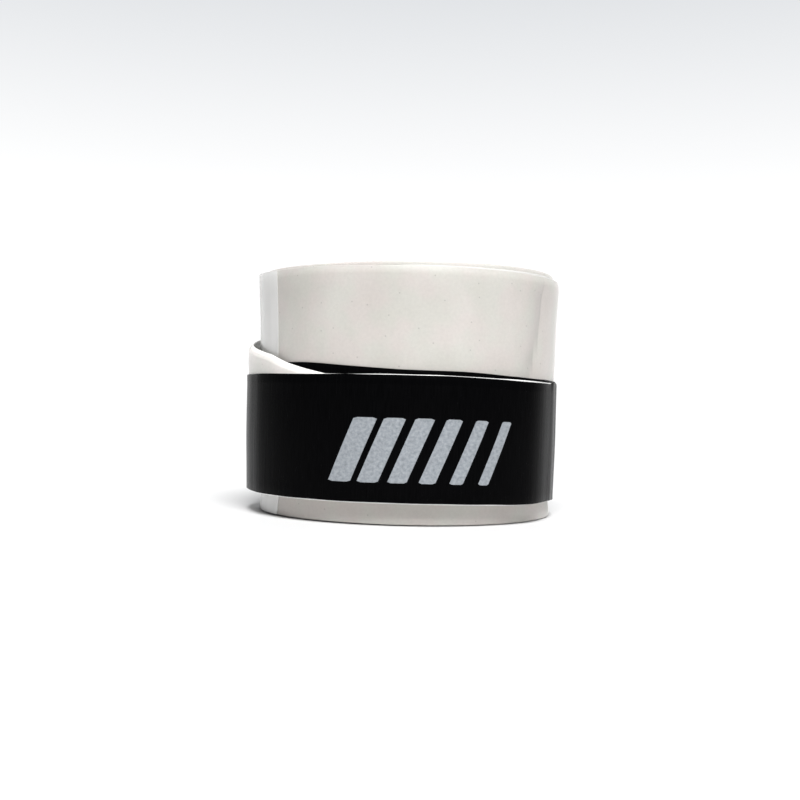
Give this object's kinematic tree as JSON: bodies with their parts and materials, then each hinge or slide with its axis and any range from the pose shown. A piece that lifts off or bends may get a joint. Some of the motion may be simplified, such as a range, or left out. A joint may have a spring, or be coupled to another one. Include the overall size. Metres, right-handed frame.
{
  "type": "racket overgrip roll",
  "caption": "Roll of white racket overgrip strip with a tapered tail, held by a black printed finishing tape with a peeling tab.",
  "frame": {"origin": "centre of the overall box at the base, close to the winding axis, on the surface that the roll stands on", "axes": "+Z along the winding axis, up from the base; -Y towards the front, where the printed stretch of tape is; +X to the right of that front"},
  "size_m": [0.0339, 0.0337, 0.025],
  "materials": {
    "grip_backing": "matte non-woven felt",
    "grip_surface": "satin tacky polyurethane",
    "clear_film": "clear gloss film",
    "adhesive": "soft gloss adhesive",
    "adhesive_paper": "glazed paper",
    "black_tape": "satin stretched vinyl",
    "release_liner": "glazed release paper",
    "silver_ink": "satin silver ink"
  },
  "bodies": {
    "roll": {"grip_base": "grip_backing", "grip_skin": "grip_surface", "cover_film": "clear_film", "start_adhesive": "adhesive", "start_adhesive_paper": "adhesive_paper"},
    "tape_turn": {"finishing_tape_inner": "black_tape"},
    "tape_wrap": {"finishing_tape_outer": "black_tape", "tape_liner": "release_liner", "printed_mark": "silver_ink"},
    "tape_tab": {"finishing_tape_end": "black_tape"}
  },
  "joints": [
    {"name": "band_slide", "type": "slide", "parent": "roll", "child": "tape_turn", "axis": [0, 0, 1], "range_m": [0, 0.027]},
    {"name": "wrap_open", "type": "hinge", "parent": "tape_turn", "child": "tape_wrap", "pos_m": [-0.01598, -0.00662, 0.0084], "axis": [0, 0, -1], "range_deg": [0, 80]},
    {"name": "tab_peel", "type": "hinge", "parent": "tape_wrap", "child": "tape_tab", "pos_m": [0.01585, -0.00425, 0.0084], "axis": [0, 0, -1], "range_deg": [0, 100]}
  ]
}
